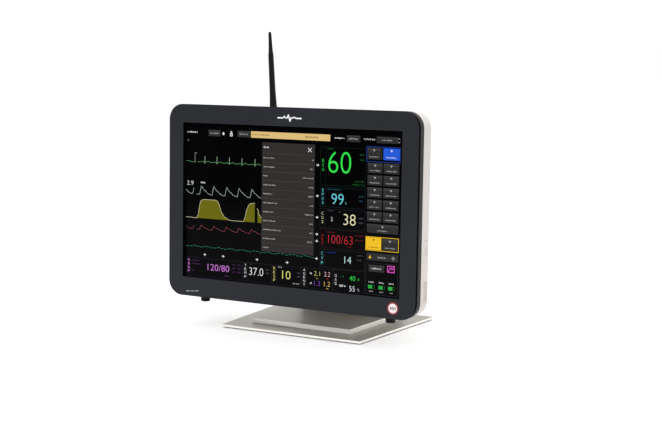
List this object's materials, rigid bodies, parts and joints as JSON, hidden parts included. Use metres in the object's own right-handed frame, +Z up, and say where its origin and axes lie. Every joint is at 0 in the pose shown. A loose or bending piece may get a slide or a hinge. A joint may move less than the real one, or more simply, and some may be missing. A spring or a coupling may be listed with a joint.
{
  "type": "patient monitor",
  "caption": "Wide bedside patient monitor with a lit waveform screen in a rounded charcoal bezel, pale housing, fold-down whip antenna and a tilting desk stand on a flat plate base.",
  "frame": {"origin": "centre of the base's footprint, on the surface it stands on", "axes": "+Z up, the screen faces -Y, +X to the viewer's right"},
  "size_m": [0.468, 0.2389, 0.4889],
  "materials": {
    "pad_rubber": "matt",
    "brushed_plate": "satin brushed",
    "screw_steel": "bright",
    "dark_metal": "satin black",
    "dark_plastic": "matt",
    "bronze": "dull",
    "pale_housing": "fine texture, warm pale grey",
    "band_grey": "satin dark grey",
    "bezel_charcoal": "satin charcoal",
    "seal_rubber": "matt black",
    "screen_glass": "gloss",
    "lcd_black": "gloss black with a lit picture",
    "tray_metal": "satin",
    "light_guide": "white acrylic in a foil tray",
    "brass": "bright",
    "board_green": "solder mask",
    "heat_sink": "satin",
    "port_metal": "plated",
    "led_lens": "gloss",
    "foot_rubber": "matt",
    "label_white": "printed",
    "antenna_black": "satin black"
  },
  "bodies": {
    "stand": {"base_pad": "pad_rubber", "base_plate": "brushed_plate", "stand_arm": "brushed_plate", "arm_screws": "screw_steel", "hinge_bracket": "dark_metal", "bracket_screws": "screw_steel", "tilt_shaft": "screw_steel", "shaft_nut": "screw_steel", "hinge_caps": "dark_plastic"},
    "head": {"friction_washers": "bronze", "tilt_knuckle": "dark_metal", "knuckle_screws": "screw_steel", "vesa_plate": "dark_metal", "vesa_screws": "screw_steel", "rear_housing": "pale_housing", "mid_frame": "band_grey", "front_bezel": "bezel_charcoal", "front_seal": "seal_rubber", "glass_gasket": "seal_rubber", "touch_glass": "screen_glass", "lcd_panel": "lcd_black", "backlight_unit": "light_guide", "panel_brackets": "tray_metal", "chassis_plate": "tray_metal", "standoffs": "brass", "main_board": "board_green", "processor": "dark_plastic", "heat_sink": "heat_sink", "memory_module": "board_green", "radio_card": "board_green", "storage_drive": "tray_metal", "power_board": "board_green", "io_board": "board_green", "io_panel": "tray_metal", "usb_ports": "port_metal", "lan_ports": "port_metal", "serial_ports": "port_metal", "video_port": "port_metal", "dc_inlet": "dark_plastic", "speakers": "dark_plastic", "speaker_grilles": "pale_housing", "sounder": "dark_plastic", "status_led": "led_lens", "button_switch": "dark_plastic", "bumper_feet": "foot_rubber", "case_screws": "screw_steel", "round_label": "label_white", "antenna_connector": "brass", "antenna_nut": "brass", "antenna_coax": "dark_plastic"},
    "button": {"power_button": "dark_plastic"},
    "antenna_base": {"antenna_knuckle": "antenna_black", "antenna_pin": "screw_steel"},
    "antenna": {"antenna_whip": "antenna_black"}
  },
  "joints": [
    {"name": "head_tilt", "type": "hinge", "parent": "stand", "child": "head", "pos_m": [0, -0.02502, 0.19603], "axis": [-1, 0, 0], "range_deg": [-5, 18]},
    {"name": "power_press", "type": "slide", "parent": "head", "child": "button", "axis": [1, 0, 0], "range_m": [0, 0.0012], "stiffness_N_per_m": 300},
    {"name": "antenna_swivel", "type": "hinge", "parent": "head", "child": "antenna_base", "pos_m": [-0.0654, -0.05829, 0.33227], "axis": [0, 0.9994, -0.0349], "range_deg": [-86, 90]},
    {"name": "antenna_fold", "type": "hinge", "parent": "antenna_base", "child": "antenna", "pos_m": [-0.0654, -0.05229, 0.33206], "axis": [-0.9976, -0.0024, -0.0697], "range_deg": [0, 90]}
  ]
}
